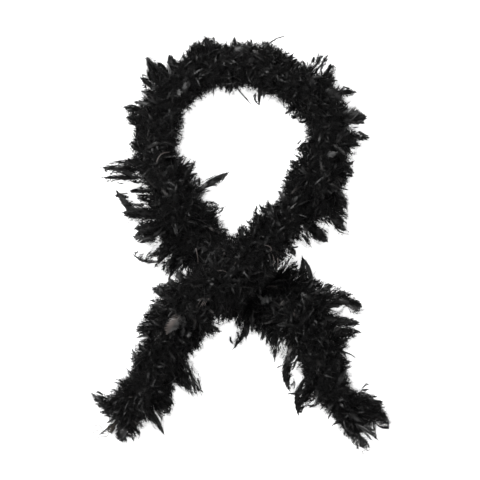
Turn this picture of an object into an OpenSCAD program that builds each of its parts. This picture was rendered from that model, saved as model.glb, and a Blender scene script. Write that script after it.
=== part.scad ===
// Feather boa: a twisted cord with turkey feathers tied along it, laid flat in a loop whose ends cross.
// Lengths are in millimetres, angles in degrees. The boa rests on z = 0 and +Y points to the crown
// of the loop. A station is a distance along the cord from the end of the left tail. The boa is
// made in links: each one is the stretch of cord, down and plumes between two places that flex.

/* [Cord] */
// Diameter of the core cord
cord_d = 4; // [3:0.5:5]
// Gap in the cord and the down where the boa flexes
flex_gap = 2; // [1.5:0.5:4]
// Outer diameter of the thread ties that hold the feather roots to the cord
tie_d = 6; // [5.5:0.5:8]
// Length of a thread tie along the cord
tie_l = 5; // [3:1:8]
// Distance between thread ties
tie_pitch = 28; // [20:2:40]

/* [Down] */
// Width of the dense down
down_w = 82; // [70:2:86]
// Height of the down where nothing presses on it
down_h = 60; // [52:2:64]
// Height of the strand that is pressed under the crossing
pressed_h = 38; // [32:2:40]
// Height of the strand that is carried over the crossing
carried_h = 50; // [44:2:54]
// Clear height between the two strands at the crossing
strand_gap = 6; // [4:1:10]
// How far the down swells and thins along the cord, as a share of its width
swell = 0.05; // [0:0.01:0.08]

/* [Plumes] */
// Reach of a filling plume from the cord
fill_reach = 58; // [50:2:62]
// Widest part of a filling plume
fill_w = 9; // [6:1:12]
// Filling plumes on each link
fill_count = 8; // [2:1:8]
// Thickness of a plume
plume_t = 1.6; // [1.2:0.2:2]

/* [Ends] */
// Diameter of the whipping thread round each end of the cord
whipping_d = 7; // [6:0.5:9]
// Length of the whipping
whipping_l = 14; // [10:1:20]
// Size of the end knot, as the radius of the ring that it winds round
knot_r = 4; // [3.5:0.25:5]
// Diameter of a loose thread at a cord end
thread_d = 1.2; // [1:0.1:1.6]

/* [Hidden] */
// The sections of the boa from the left tail to the right tail, one for each link
SECTIONS = ["left_tail_end", "left_tail", "over_crossing", "right_side", "right_shoulder", "crown",
    "left_shoulder", "left_side", "under_crossing", "right_tail", "right_tail_end"];

// Route of the core cord over the floor, from the end of the left tail
route = [[-228, -324], [-204, -294], [-178, -258], [-152, -214], [-134, -170], [-116, -134],
    [-98, -106], [-62, -76], [-14, -40], [40, 0], [82, 36], [114, 74], [140, 116], [154, 164],
    [154, 210], [140, 254], [108, 290], [64, 316], [18, 328], [-26, 324], [-70, 312], [-108, 290],
    [-134, 254], [-148, 210], [-152, 164], [-142, 120], [-122, 74], [-98, 32], [-62, -6], [-14, -46],
    [40, -86], [90, -112], [124, -150], [140, -190], [150, -232], [166, -268], [190, -302],
    [210, -334], [219, -350]];
// Stations where the strands cross, and half of the stretch that makes up each crossing link
over_s = 360;
under_s = 1402;
crossing_half = 75;
// Links between the two crossings
loop_links = 5;
// Widest swing of each flex place either way, in the order of the sections, and room beyond it
swings = [20, 15, 10, 8, 6, 6, 8, 10, 15, 20];
swing_room = 2;
// Stretch on each side of a crossing that keeps its level, and the ramp that comes after it
level_half = 92;
ramp = 80;
// Lengths over which the down fades at the left and the right end, and what it loses there
fades = [70, 110];
losses = [0.5, 0.7];
// Degrees of the down's swelling to a millimetre of cord
swell_turn = 5;
// Bare cord at each end
bare = 16;
// Sides of the down and of the cord, and rings in one link of each
down_sides = 20;
down_rings = 7;
cord_sides = 8;
cord_rings = 7;
// Distance from a flex place to the first full ring of down, tie or filling plume
edge = 24;
// Height of the cord in the down, as a share of the down's height
cord_share = 0.47;

// Points of the path between two points of the route, and reach along it that gives a direction
steps = 8;
reach = 3;
last = len(route) - 1;
function curve(a, b, c, d, t) = 0.5 * (2 * b + (c - a) * t + (2 * a - 5 * b + 4 * c - d) * t ^ 2
    + (3 * b - a - 3 * c + d) * t ^ 3);
path = [for (i = [0:last - 1], k = [0:steps - 1]) curve(route[max(i - 1, 0)], route[i], route[i + 1],
    route[min(i + 2, last)], k / steps), route[last]];
end = len(path) - 1;
lengths = [for (i = 0, d = 0; i <= end; i = i + 1, d = d + norm(path[min(i, end)] - path[i - 1])) d];
total = lengths[end];
table_x = [for (i = [0:end]) [lengths[i], path[i].x]];
table_y = [for (i = [0:end]) [lengths[i], path[i].y]];

// Stations of the links' ends
over_start = over_s - crossing_half;
over_end = over_s + crossing_half;
under_start = under_s - crossing_half;
under_end = under_s + crossing_half;
ends = [0, over_start / 2, over_start, over_end,
    for (k = [1:loop_links - 1]) over_end + (under_start - over_end) * k / loop_links,
    under_start, under_end, (under_end + total) / 2, total];
links = len(SECTIONS);

// Place and direction of the cord at a station
function unit(v) = v / norm(v);
function left_of(h) = [-h.y, h.x];
function at(s) = [lookup(s, table_x), lookup(s, table_y)];
function heading(s) = unit(at(s + reach) - at(s - reach));
function joined(p, z) = [p.x, p.y, z];

// Levels along the boa: the upper strand climbs over the lower one, which is pressed flat
function smooth(u) = let(c = min(max(u, 0), 1)) c * c * (3 - 2 * c);
function near(s, centre) = 1 - smooth((abs(s - centre) - level_half) / ramp);
function fade(s) = 1 - losses[0] * (1 - smooth(s / fades[0]))
    - losses[1] * (1 - smooth((total - s) / fades[1]));
function base(s) = (pressed_h + strand_gap) * near(s, over_s);
function height(s) = fade(s) * (down_h - (down_h - carried_h) * near(s, over_s)
    - (down_h - pressed_h) * near(s, under_s));
function half_width(s) = fade(s) * down_w / 2 * (1 + swell * sin(swell_turn * s));
function core(s) = joined(at(s), base(s) + cord_share * height(s));

// A closed tube through rings of points, whose ends are filled in strips from side to side
module tube(rings) {
    n = len(rings[0]);
    m = len(rings);
    sides = [for (i = [0:m - 2], k = [0:n - 1]) let(a = i * n + k, b = i * n + (k + 1) % n)
        each [[a, b + n, b], [a, a + n, b + n]]];
    strips = [for (k = [0:n / 2 - 1]) let(c = (n - k) % n, d = n - k - 1)
        each [if (k > 0) [k, k + 1, c], if (d != k + 1) [k + 1, d, c]]];
    back = (m - 1) * n;
    polyhedron([for (r = rings) each r],
        concat(sides, strips, [for (f = strips) [back + f[0], back + f[2], back + f[1]]]));
}

// One ring of down, flat below and round above: roundness over 1 makes the flat part wider.
// At a flex place the ring leans back from the joint on both sides
roundness = 1.15;

function down_ring(s, way, swing) = let(h = heading(s)) [for (k = [0:down_sides - 1])
    let(a = 360 * k / down_sides, v = half_width(s) * cos(a),
        z = base(s) + height(s) * max(0, (1 + roundness * sin(a)) / (1 + roundness)),
        back = way == 0 ? 0 : flex_gap / 2 + abs(v) * tan(swing / 2 + swing_room))
    joined(at(s) + way * back * h + v * left_of(h), z)];

// Ring of a round tube at a point, facing along a direction
function round_ring(p, direction, r, n) =
    let(t = unit(direction), u = unit([-t.y, t.x, 0]), w = cross(t, u))
    [for (k = [0:n - 1]) p + r * (u * cos(360 * k / n) + w * sin(360 * k / n))];

module down(i) {
    first = i == 0 ? [down_ring(bare, 0, 0)] : [down_ring(ends[i], 1, swings[i - 1])];
    final = i == links - 1 ? [down_ring(total - bare, 0, 0)] : [down_ring(ends[i + 1], -1, swings[i])];
    span = ends[i + 1] - ends[i] - 2 * edge;
    middle = [for (k = [0:down_rings - 1])
        down_ring(ends[i] + edge + span * k / (down_rings - 1), 0, 0)];
    color("#232323") tube(concat(first, middle, final));
}

module cord(i) {
    from = ends[i] + (i == 0 ? 0 : flex_gap / 2);
    to = ends[i + 1] - (i == links - 1 ? 0 : flex_gap / 2);
    color("#3a332c") tube([for (k = [0:cord_rings - 1]) let(s = from + (to - from) * k / (cord_rings - 1))
        round_ring(core(s), core(s + reach) - core(s - reach), cord_d / 2, cord_sides)]);
}

// Puts a piece at a station, with its Z axis along the cord
module on_cord(s) {
    t = unit(core(s + reach) - core(s - reach));
    translate(core(s)) rotate([0, acos(t.z), atan2(t.y, t.x)]) children();
}

// The thread ties of one link
module ties(i) {
    span = ends[i + 1] - ends[i] - 2 * edge;
    count = floor(span / tie_pitch);
    color("#4a4036") for (k = [0:count])
        on_cord(ends[i] + edge + span * k / count)
            difference() {
                cylinder(d = tie_d, h = tie_l, center = true, $fn = 24);
                cylinder(d = cord_d, h = tie_l + 2, center = true, $fn = 24);
            }
}

// A plume: a flat blade that leaves the cord as a thin quill, widens into the vane and closes at its tip.
// Its middle is arched up, and each share is a place along it and how wide it is there
arch = 8;
blade_shares = [[0.25, 0.22], [0.5, 0.75], [0.72, 1], [0.9, 0.7]];

module plume(s, tip, bow, w) {
    start = core(s);
    aim = unit([tip.x - start.x, tip.y - start.y]);
    root = start + cord_d / 2 * joined(aim, 0);
    bend = (root + tip) / 2 + joined(bow * left_of(aim), arch);
    rings = [for (q = blade_shares)
        let(t = q[0], p = (1 - t) ^ 2 * root + 2 * t * (1 - t) * bend + t ^ 2 * tip)
        let(d = unit((1 - t) * (bend - root) + t * (tip - bend)), u = unit([-d.y, d.x, 0]), v = cross(d, u))
        each [p + w / 2 * q[1] * u, p + plume_t / 2 * v, p - w / 2 * q[1] * u, p - plume_t / 2 * v]];
    n = 4 * len(blade_shares);
    polyhedron(concat([root], rings, [tip]), concat(
        [for (k = [0:3]) [0, 1 + k, 1 + (k + 1) % 4]],
        [for (j = [0:len(blade_shares) - 2], k = [0:3]) let(a = 1 + 4 * j + k, b = 1 + 4 * j + (k + 1) % 4)
            each [[a, b + 4, b], [a, a + 4, b + 4]]],
        [for (k = [0:3]) [n + 1, n - 3 + (k + 1) % 4, n - 3 + k]]));
}

// Long plumes that stand out of the down: station, tip x, tip y, tip z, bow to the left, width
long_plumes = [
    // left tail end
    [14, -256, -342, 6, 0, 5], [20, -210, -354, 9, 0, 20], [27, -254, -298, 12, 0, 5],
    [34, -178, -344, 14, 0, 7], [46, -268, -262, 14, 20, 12], [54, -174, -330, 24, 0, 12],
    [66, -152, -318, 34, 0, 6], [76, -134, -342, 12, 4, 9], [84, -228, -244, 30, 0, 10],
    [94, -120, -304, 20, 0, 9], [106, -116, -288, 34, 0, 12], [116, -198, -198, 30, 0, 16],
    // left tail
    [192, -80, -276, 12, 0, 10], [202, -66, -270, 30, 0, 12], [206, -186, -166, 30, 0, 14],
    [222, -190, -154, 16, 0, 9], [238, -72, -190, 26, 0, 20], [246, -166, -118, 40, 0, 10],
    [250, -30, -154, 40, -6, 7], [262, -158, -74, 34, 6, 14],
    // over the crossing
    [388, 4, 42, 86, 0, 12],
    // right side
    [458, 22, 64, 64, -6, 8], [464, 102, -20, 44, 0, 6], [470, 34, 78, 60, 6, 7], [480, 46, 80, 66, 0, 4],
    [500, 130, -4, 34, 0, 12], [508, 70, 94, 42, 0, 6], [520, 160, 6, 22, -8, 20],
    [545, 78, 118, 50, 0, 9], [548, 200, 24, 14, -8, 12], [563, 72, 120, 26, 0, 4],
    [574, 198, 76, 30, 0, 14], [586, 88, 156, 44, 0, 9], [590, 190, 86, 52, -6, 8],
    // right shoulder
    [642, 204, 126, 42, 0, 5], [662, 216, 178, 30, 0, 18], [670, 98, 172, 34, 0, 7],
    [680, 240, 194, 14, -8, 9], [700, 228, 228, 44, 0, 28], [708, 88, 232, 48, 0, 10],
    [724, 196, 252, 18, 0, 5], [738, 212, 276, 36, 8, 9], [748, 174, 304, 54, 0, 8],
    [754, 172, 328, 20, 0, 11], [758, 78, 234, 24, 8, 7], [764, 164, 348, 34, 0, 4],
    [770, 150, 346, 52, 0, 9], [778, 118, 326, 44, 0, 12],
    // crown
    [816, 92, 342, 36, 0, 6], [830, 70, 358, 46, 0, 10], [838, 42, 262, 34, 0, 5],
    [844, 42, 372, 28, 0, 14], [854, 86, 376, 52, 30, 3], [858, 36, 252, 20, 0, 7],
    [870, 14, 370, 42, 0, 16], [894, -10, 378, 38, 0, 7], [905, -18, 268, 34, 0, 9],
    [922, 26, 250, 12, -8, 3], [934, -62, 376, 46, 0, 16], [946, -80, 368, 28, 0, 18],
    // left shoulder
    [990, -102, 352, 44, 0, 9], [1002, -126, 344, 30, 8, 15], [1022, -166, 340, 22, 0, 16],
    [1035, -84, 244, 32, 0, 15], [1042, -180, 304, 42, 0, 13], [1054, -182, 280, 20, -8, 6],
    [1072, -214, 250, 30, 0, 12], [1076, -96, 228, 44, 0, 8], [1088, -204, 230, 46, 0, 12],
    [1106, -190, 206, 24, 0, 6], [1116, -104, 180, 40, 0, 7], [1120, -198, 184, 40, 0, 9],
    // left side
    [1168, -228, 152, 46, 0, 9], [1174, -94, 160, 40, 0, 7], [1176, -252, 140, 18, 0, 13],
    [1188, -250, 122, 36, 0, 11], [1210, -198, 96, 40, 0, 7], [1214, -86, 158, 24, 0, 8],
    [1228, -76, 156, 46, 0, 7], [1236, -222, 102, 16, 40, 12], [1252, -16, 134, 20, 8, 12],
    [1262, -212, 60, 40, 0, 18], [1276, -20, 72, 40, 0, 9], [1280, -190, 30, 30, 0, 22],
    [1292, -198, -10, 14, 40, 4], [1296, -32, 56, 24, 0, 9], [1300, -170, -22, 34, 10, 10],
    [1306, -136, -54, 10, 0, 8],
    // under the crossing
    [1414, -16, -190, 6, 12, 5], [1430, 12, -176, 20, 0, 6],
    // right tail
    [1502, 36, -172, 20, 0, 5], [1510, 62, -212, 10, 0, 13], [1528, 94, -200, 24, 0, 6],
    [1540, 112, -18, 8, -46, 9], [1556, 220, -112, 24, 40, 15], [1572, 220, -142, 38, 15, 5],
    [1584, 80, -214, 40, 0, 14], [1590, 222, -156, 18, 6, 13], [1610, 196, -178, 32, 0, 10],
    // right tail end
    [1654, 202, -206, 42, 0, 12], [1662, 92, -266, 20, -46, 13], [1672, 104, -266, 42, 0, 9],
    [1676, 194, -244, 30, 0, 12], [1684, 106, -308, 12, -12, 8], [1692, 206, -262, 34, 0, 10],
    [1722, 258, -284, 32, 0, 16], [1742, 268, -330, 18, 38, 9],
    [1756, 242, -342, 40, 0, 8], [1766, 250, -350, 24, 12, 12], [1786, 236, -364, 14, 0, 10]];

// A short plume that fills between the long ones: a turn round the cord and a lean along it, in degrees.
// Each one is turned a golden angle on from the one before, about straight up
golden = 137.5;
side_turn = 45;
side_lean = 20;
end_lean = 12;
lean_phase = 2.3;
tip_rise = 4;

module filling_plume(i, k) {
    span = ends[i + 1] - ends[i] - 2 * edge;
    s = ends[i] + edge + span * (k + 0.5) / fill_count;
    u = 2 * (k + 0.5) / fill_count - 1;
    phase = golden * (k + i * fill_count);
    turn = 90 + side_turn * sin(phase);
    lean = side_lean * sin(lean_phase * phase) * (1 - abs(u)) - end_lean * u;
    h = heading(s);
    side = cos(turn) * cos(lean) * left_of(h) + sin(lean) * h;
    rise = sin(turn) * (height(s) * (1 - cord_share) + tip_rise);
    tip = core(s) + joined(fill_reach * fade(s) * side, rise);
    if (near(s, under_s) < 0.5) plume(s, tip, 0, fill_w);
}

module plumes(i) {
    color("#343434") {
        for (q = long_plumes) if (q[0] > ends[i] && q[0] < ends[i + 1])
            plume(q[0], [q[1], q[2], q[3]], q[4], q[5]);
        for (k = [0:fill_count - 1]) filling_plume(i, k);
    }
}

// Whipping: turns of thread side by side round the cord's end, each a little thicker than their spacing
turn_overlap = 1.1;

module whipping(s) {
    turn_d = (whipping_d - cord_d) / 2;
    turns = floor(whipping_l / turn_d);
    color("#51473b") on_cord(s) rotate_extrude($fn = 32) {
        for (k = [0:turns - 1])
            translate([cord_d / 2 + turn_d / 2, (k + 0.5 - turns / 2) * turn_d])
                circle(d = turn_d * turn_overlap, $fn = 24);
        translate([cord_d / 2, -whipping_l / 2]) square([turn_d / 2, whipping_l]);
    }
}

// Overhand knot: the cord's end wound three times round a small ring
knot_swing = 2;
knot_tube = 1.5;
knot_rings = 36;
function knot_point(t) = [(knot_r + knot_swing * cos(3 * t)) * cos(2 * t),
    (knot_r + knot_swing * cos(3 * t)) * sin(2 * t), knot_swing * sin(3 * t)];

module knot(s, way) {
    n = cord_sides;
    m = knot_rings;
    points = [for (i = [0:m - 1]) let(t = 360 * i / m)
        each round_ring(knot_point(t), knot_point(t + 2) - knot_point(t - 2), knot_tube, n)];
    faces = [for (i = [0:m - 1], k = [0:n - 1]) let(a = i * n + k, b = i * n + (k + 1) % n,
        c = ((i + 1) % m) * n + k, d = ((i + 1) % m) * n + (k + 1) % n) each [[a, d, b], [a, c, d]]];
    h = heading(s);
    color("#453b31") translate(core(s) + way * (knot_r + knot_swing) * joined(h, 0))
        polyhedron(points, faces);
}

// Loose thread ends: curly tubes that start at the knot, each given as its reach, turn and rise
thread_ends = [[[24, -80, 7], [28, -50, 5], [30, -20, 9]], [[12, -30, 6], [10, 25, 4]]];
thread_sides = 6;
thread_rings = 12;
thread_wave = 3;
wave_turn = 400;

module thread(start, aim, q) {
    d = [cos(q[1]) * aim.x - sin(q[1]) * aim.y, sin(q[1]) * aim.x + cos(q[1]) * aim.y];
    function spot(t) = start + q[0] * t * joined(d, 0)
        + thread_wave * sin(wave_turn * t) * joined(left_of(d), 0)
        + [0, 0, (q[2] - start.z) * smooth(t)];
    tube([for (k = [0:thread_rings - 1]) let(t = k / (thread_rings - 1))
        round_ring(spot(t), spot(t + 0.02) - spot(t - 0.02), thread_d / 2, thread_sides)]);
}

module threads(e) {
    s = e == 0 ? 0 : total;
    aim = (e == 0 ? -1 : 1) * heading(s);
    start = core(s) + (2 * (knot_r + knot_swing) + knot_tube) * joined(aim, 0);
    color("#6b6153") for (k = [0:len(thread_ends[e]) - 1])
        thread(start + (k - 1) * 2 * thread_d * joined(left_of(aim), 0), aim, thread_ends[e][k]);
}

for (i = [0:links - 1]) {
    cord(i);
    ties(i);
    down(i);
    plumes(i);
}
whipping(bare / 2);  // whipping_left
whipping(total - bare / 2);  // whipping_right
knot(0, -1);  // knot_left
knot(total, 1);  // knot_right
threads(0);  // threads_left
threads(1);  // threads_right
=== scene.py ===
# Feather boa laid flat in a loop with crossed ends: feathers, plumes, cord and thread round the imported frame
import math
import bpy
import numpy as np
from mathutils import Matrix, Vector


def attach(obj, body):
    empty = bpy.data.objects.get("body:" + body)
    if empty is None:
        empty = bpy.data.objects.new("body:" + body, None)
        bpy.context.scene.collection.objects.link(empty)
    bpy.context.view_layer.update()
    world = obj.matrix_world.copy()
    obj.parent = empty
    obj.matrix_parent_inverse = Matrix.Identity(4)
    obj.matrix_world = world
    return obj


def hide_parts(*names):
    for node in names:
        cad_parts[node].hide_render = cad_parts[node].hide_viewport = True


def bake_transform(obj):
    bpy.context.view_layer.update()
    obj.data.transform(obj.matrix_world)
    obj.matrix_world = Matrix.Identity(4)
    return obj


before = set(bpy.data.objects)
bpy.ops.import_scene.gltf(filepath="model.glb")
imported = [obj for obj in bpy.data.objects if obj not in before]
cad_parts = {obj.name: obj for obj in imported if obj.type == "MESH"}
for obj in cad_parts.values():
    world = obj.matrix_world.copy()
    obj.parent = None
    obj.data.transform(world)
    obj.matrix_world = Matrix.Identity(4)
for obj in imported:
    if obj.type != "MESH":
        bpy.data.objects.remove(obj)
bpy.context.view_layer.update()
print("frame loaded with", len(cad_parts), "nodes")


def unit(v):
    return v / np.maximum(np.linalg.norm(v, axis=-1, keepdims=True), 1e-9)


def smooth(u):
    c = np.clip(u, 0, 1)
    return c * c * (3 - 2 * c)


def setInputs(node, settings):
    for label, value in settings.items():
        node.inputs[label].default_value = value
    return node


def newPaint(name, settings):
    paint = bpy.data.materials.new(name)
    paint.use_nodes = True
    return paint, paint.node_tree, setInputs(paint.node_tree.nodes["Principled BSDF"], settings)


# camera, light and floor

studio = {
    "look at": (0.0009, 0.0108),  # point under the camera, m
    "camera height": 8.0,  # m above the floor
    "frame width": 0.864,  # m of floor that the frame takes in
    "floor": (0.85, 0.85, 0.85),
    "floor glow": 0.92,  # keeps the shadows on the floor faint
    "sky": 0.18,
    "key": ((-1.3, 1.2, 1.9), 1.4, 98),  # soft light at the upper left: place m, size m, power W
    "fill": ((1.5, -0.9, 1.6), 1.2, 15),
    "floor size": 14,
}


def makeCamera():
    camera = bpy.data.cameras.new("overheadCamera")
    camera.sensor_width = 36
    camera.lens = camera.sensor_width * studio["camera height"] / studio["frame width"]
    camera.clip_end = 40
    holder = bpy.data.objects.new("overheadCamera", camera)
    holder.location = (*studio["look at"], studio["camera height"])
    bpy.context.scene.collection.objects.link(holder)
    bpy.context.scene.camera = holder


def makeSoftLight(name, place, size, power):
    light = bpy.data.lights.new(name, "AREA")
    light.size = size
    light.energy = power
    holder = bpy.data.objects.new(name, light)
    holder.location = place
    holder.rotation_euler = (-Vector(place)).to_track_quat("-Z", "Y").to_euler()
    bpy.context.scene.collection.objects.link(holder)


def makeStudio():
    world = bpy.data.worlds.new("paleStudio")
    bpy.context.scene.world = world
    world.use_nodes = True
    setInputs(world.node_tree.nodes["Background"], {"Color": (1, 1, 1, 1), "Strength": studio["sky"]})
    makeSoftLight("keyLight", *studio["key"])
    makeSoftLight("fillLight", *studio["fill"])
    bpy.ops.object.select_all(action="DESELECT")
    bpy.ops.mesh.primitive_plane_add(size=studio["floor size"], location=(0, 0, 0))
    floor = bpy.context.object
    floor.name = "studioFloor"
    white = (1, 1, 1, 1)
    paint = newPaint("palePaper", {"Base Color": (*studio["floor"], 1), "Roughness": 0.9,
                                   "Specular IOR Level": 0.1, "Emission Color": white,
                                   "Emission Strength": studio["floor glow"]})[0]
    floor.data.materials.append(paint)
    bpy.context.scene.view_settings.view_transform = "Standard"


makeCamera()
makeStudio()
print("camera, light and floor are set")

# the boa's route and its cross-section

boa = {
    # route of the core cord over the floor, from the end of the left tail, m
    "route": [(-0.228, -0.324), (-0.204, -0.294), (-0.178, -0.258), (-0.152, -0.214), (-0.134, -0.170),
              (-0.116, -0.134), (-0.098, -0.106), (-0.062, -0.076), (-0.014, -0.040), (0.040, 0.000),
              (0.082, 0.036), (0.114, 0.074), (0.140, 0.116), (0.154, 0.164), (0.154, 0.210),
              (0.140, 0.254), (0.108, 0.290), (0.064, 0.316), (0.018, 0.328), (-0.026, 0.324),
              (-0.070, 0.312), (-0.108, 0.290), (-0.134, 0.254), (-0.148, 0.210), (-0.152, 0.164),
              (-0.142, 0.120), (-0.122, 0.074), (-0.098, 0.032), (-0.062, -0.006), (-0.014, -0.046),
              (0.040, -0.086), (0.090, -0.112), (0.124, -0.150), (0.140, -0.190), (0.150, -0.232),
              (0.166, -0.268), (0.190, -0.302), (0.210, -0.334), (0.219, -0.350)],
    "steps": 8,  # points of the curve between two points of the route
    "look ahead": 0.003,  # the heading is taken over this length each way
    "links": ["left_tail_end", "left_tail", "over_crossing", "right_side", "right_shoulder", "crown",
              "left_shoulder", "left_side", "under_crossing", "right_tail", "right_tail_end"],
    "crossings": (0.360, 1.402),  # stations where the boa passes over and under itself
    "crossing half": 0.075,  # half length of the links that cross
    "loop links": 5,
    "level half": 0.092,  # stretch on each side of a crossing that keeps its level
    "ramp": 0.080,  # length of the slope after it
    "down height": 0.060,
    "pressed height": 0.038,  # the strand below
    "carried height": 0.050,  # the strand on top
    "strand gap": 0.006,
    "fades": (0.070, 0.110),  # the down thins over these lengths at the two ends
    "losses": (0.5, 0.7),
    "bare": 0.016,  # cord without feathers at each end
    "cord share": 0.47,  # height of the cord in the down
    "reach every": 0.05,  # how far the feathers reach to the two sides, mm, at this spacing
    "reach left": [30, 38, 30, 40, 36, 42, 42, 44, 44, 42, 44, 48, 44, 30, 30, 42, 42, 42, 40, 38, 40,
                   38, 42, 39, 50, 50, 52, 48, 44, 44, 54, 62, 52, 46, 35, 42, 36],
    "reach right": [42, 34, 46, 48, 58, 64, 64, 64, 56, 42, 20, 54, 46, 42, 49, 42, 26, 40, 33, 48, 31,
                    37, 35, 40, 25, 40, 52, 50, 52, 62, 54, 52, 37, 32, 23, 20, 16],
    "tips": 0.007,  # part of that reach, m, that single feather tips make up
    "least half width": 0.006,
    "rounded half": 0.044,  # half width of the down's rounded top
}


def curveThrough(points, steps):
    # Catmull-Rom spline with its ends repeated
    p = np.array([points[0], *points, points[-1]])
    t = np.arange(steps)[:, None] / steps
    rows = [0.5 * (2 * b + (c - a) * t + (2 * a - 5 * b + 4 * c - d) * t ** 2
                   + (3 * b - a - 3 * c + d) * t ** 3)
            for a, b, c, d in zip(p, p[1:], p[2:], p[3:])]
    return np.vstack([*rows, p[-1:]])


routeLine = curveThrough(boa["route"], boa["steps"])
stepLengths = np.linalg.norm(np.diff(routeLine, axis=0), axis=1)
routeStations = np.concatenate([[0], np.cumsum(stepLengths)])
totalLength = routeStations[-1]


def linkEnds():
    over, under = boa["crossings"]
    half = boa["crossing half"]
    loop = np.linspace(over + half, under - half, boa["loop links"] + 1)
    tail = (under + half + totalLength) / 2
    return np.array([0, (over - half) / 2, over - half, *loop, under + half, tail, totalLength])


ends = linkEnds()
mids = (ends[1:] + ends[:-1]) / 2


def planPoint(s):
    return np.stack([np.interp(s, routeStations, routeLine[:, k]) for k in (0, 1)], -1)


def heading(s):
    ahead = boa["look ahead"]
    return unit(planPoint(np.asarray(s) + ahead) - planPoint(np.asarray(s) - ahead))


def near(s, centre):
    return 1 - smooth((np.abs(s - centre) - boa["level half"]) / boa["ramp"])


def fade(s):
    return (1 - boa["losses"][0] * (1 - smooth(s / boa["fades"][0]))
            - boa["losses"][1] * (1 - smooth((totalLength - s) / boa["fades"][1])))


def baseHeight(s):
    return (boa["pressed height"] + boa["strand gap"]) * near(s, boa["crossings"][0])


def downHeight(s):
    full = boa["down height"]
    return fade(s) * (full - (full - boa["carried height"]) * near(s, boa["crossings"][0])
                      - (full - boa["pressed height"]) * near(s, boa["crossings"][1]))


def halfWidth(s, angle):
    # the two sides of the boa are full and thin in different places
    every = boa["reach every"] * np.arange(len(boa["reach left"]))
    left = np.interp(s, every, boa["reach left"]) / 1000
    right = np.interp(s, every, boa["reach right"]) / 1000
    share = 0.5 + 0.5 * np.clip(np.cos(angle) * 3, -1, 1)
    return np.maximum(right + (left - right) * share - boa["tips"], boa["least half width"])


def coreLine(s):
    height = baseHeight(s) + boa["cord share"] * downHeight(s)
    return np.concatenate([planPoint(s), height[..., None]], -1)


def sectionAxes(s):
    # across, up and along the boa at each station
    h = heading(s)
    zero = np.zeros(h.shape[:-1])
    across = np.stack([-h[..., 1], h[..., 0], zero], -1)
    up = np.stack([zero, zero, zero + 1], -1)
    along = np.stack([h[..., 0], h[..., 1], zero], -1)
    return across, up, along


# materials


def newGroup(name, inputs, outputs):
    group = bpy.data.node_groups.new(name, "ShaderNodeTree")
    for label, kind, value in inputs:
        socket = group.interface.new_socket(label, in_out="INPUT", socket_type=kind)
        if value is not None:
            socket.default_value = value
    for label, kind in outputs:
        group.interface.new_socket(label, in_out="OUTPUT", socket_type=kind)
    return group, group.nodes.new("NodeGroupInput"), group.nodes.new("NodeGroupOutput")


def addMath(tree, operation, a, b=None, c=None):
    node = tree.nodes.new("ShaderNodeMath")
    node.operation = operation
    for socket, value in zip(node.inputs, (a, b, c)):
        if isinstance(value, (int, float)):
            socket.default_value = value
        elif value is not None:
            tree.links.new(value, socket)
    return node.outputs[0]


barbPattern = {"slant": 0.35, "depth": 0.3, "patch scale": 55, "patch detail": 3, "groove": 0.0004}


def makeBarbGroup():
    # fine lines that run from the shaft outward, and patches where the barbs lie apart
    tree, given, made = newGroup(
        "barbLines",
        [("Count", "NodeSocketFloat", 60.0), ("Slant", "NodeSocketFloat", barbPattern["slant"]),
         ("Depth", "NodeSocketFloat", barbPattern["depth"])],
        [("Lines", "NodeSocketFloat"), ("Patches", "NodeSocketFloat"), ("Normal", "NodeSocketVector")])
    uv = tree.nodes.new("ShaderNodeUVMap")
    uv.uv_map = "vane"
    apart = tree.nodes.new("ShaderNodeSeparateXYZ")
    tree.links.new(uv.outputs["UV"], apart.inputs[0])
    fromShaft = addMath(tree, "ABSOLUTE", addMath(tree, "SUBTRACT", apart.outputs["X"], 0.5))
    drop = addMath(tree, "MULTIPLY", fromShaft, given.outputs["Slant"])
    slanted = addMath(tree, "SUBTRACT", apart.outputs["Y"], drop)
    phase = addMath(tree, "MULTIPLY", slanted, given.outputs["Count"])
    wave = addMath(tree, "SINE", addMath(tree, "MULTIPLY", phase, 2 * math.pi))
    lines = addMath(tree, "MULTIPLY_ADD", wave, 0.5, 0.5)
    place = tree.nodes.new("ShaderNodeTexCoord")
    patches = tree.nodes.new("ShaderNodeTexNoise")
    patches.inputs["Scale"].default_value = barbPattern["patch scale"]
    patches.inputs["Detail"].default_value = barbPattern["patch detail"]
    tree.links.new(place.outputs["Object"], patches.inputs["Vector"])
    rough = addMath(tree, "MULTIPLY", lines, patches.outputs["Fac"])
    bump = tree.nodes.new("ShaderNodeBump")
    bump.inputs["Distance"].default_value = barbPattern["groove"]
    tree.links.new(given.outputs["Depth"], bump.inputs["Strength"])
    tree.links.new(rough, bump.inputs["Height"])
    tree.links.new(lines, made.inputs["Lines"])
    tree.links.new(patches.outputs["Fac"], made.inputs["Patches"])
    tree.links.new(bump.outputs["Normal"], made.inputs["Normal"])
    return tree


barbGroup = makeBarbGroup()
featherFinish = {
    # colours along the tone, from the darkest down to a washed-out feather
    "tones": [(0.0, (0.0009, 0.0009, 0.0010)), (0.55, (0.0064, 0.0063, 0.0062)),
              (0.82, (0.037, 0.035, 0.034)), (1.0, (0.118, 0.099, 0.092))],
    "lines": 0.08,  # how much barb lines and patches change the tone
    "patches": 0.24,
    "darker": 0.16,
    "rough patches": 0.3,
    "sheen roughness": 0.45,
    # roughness, specular level, sheen, barb lines along a feather
    "downBlack": (0.68, 0.12, 0.05, 8),
    "featherBlack": (0.44, 0.42, 0.08, 24),
    "plumeBlack": (0.38, 0.48, 0.06, 60),
}


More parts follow.
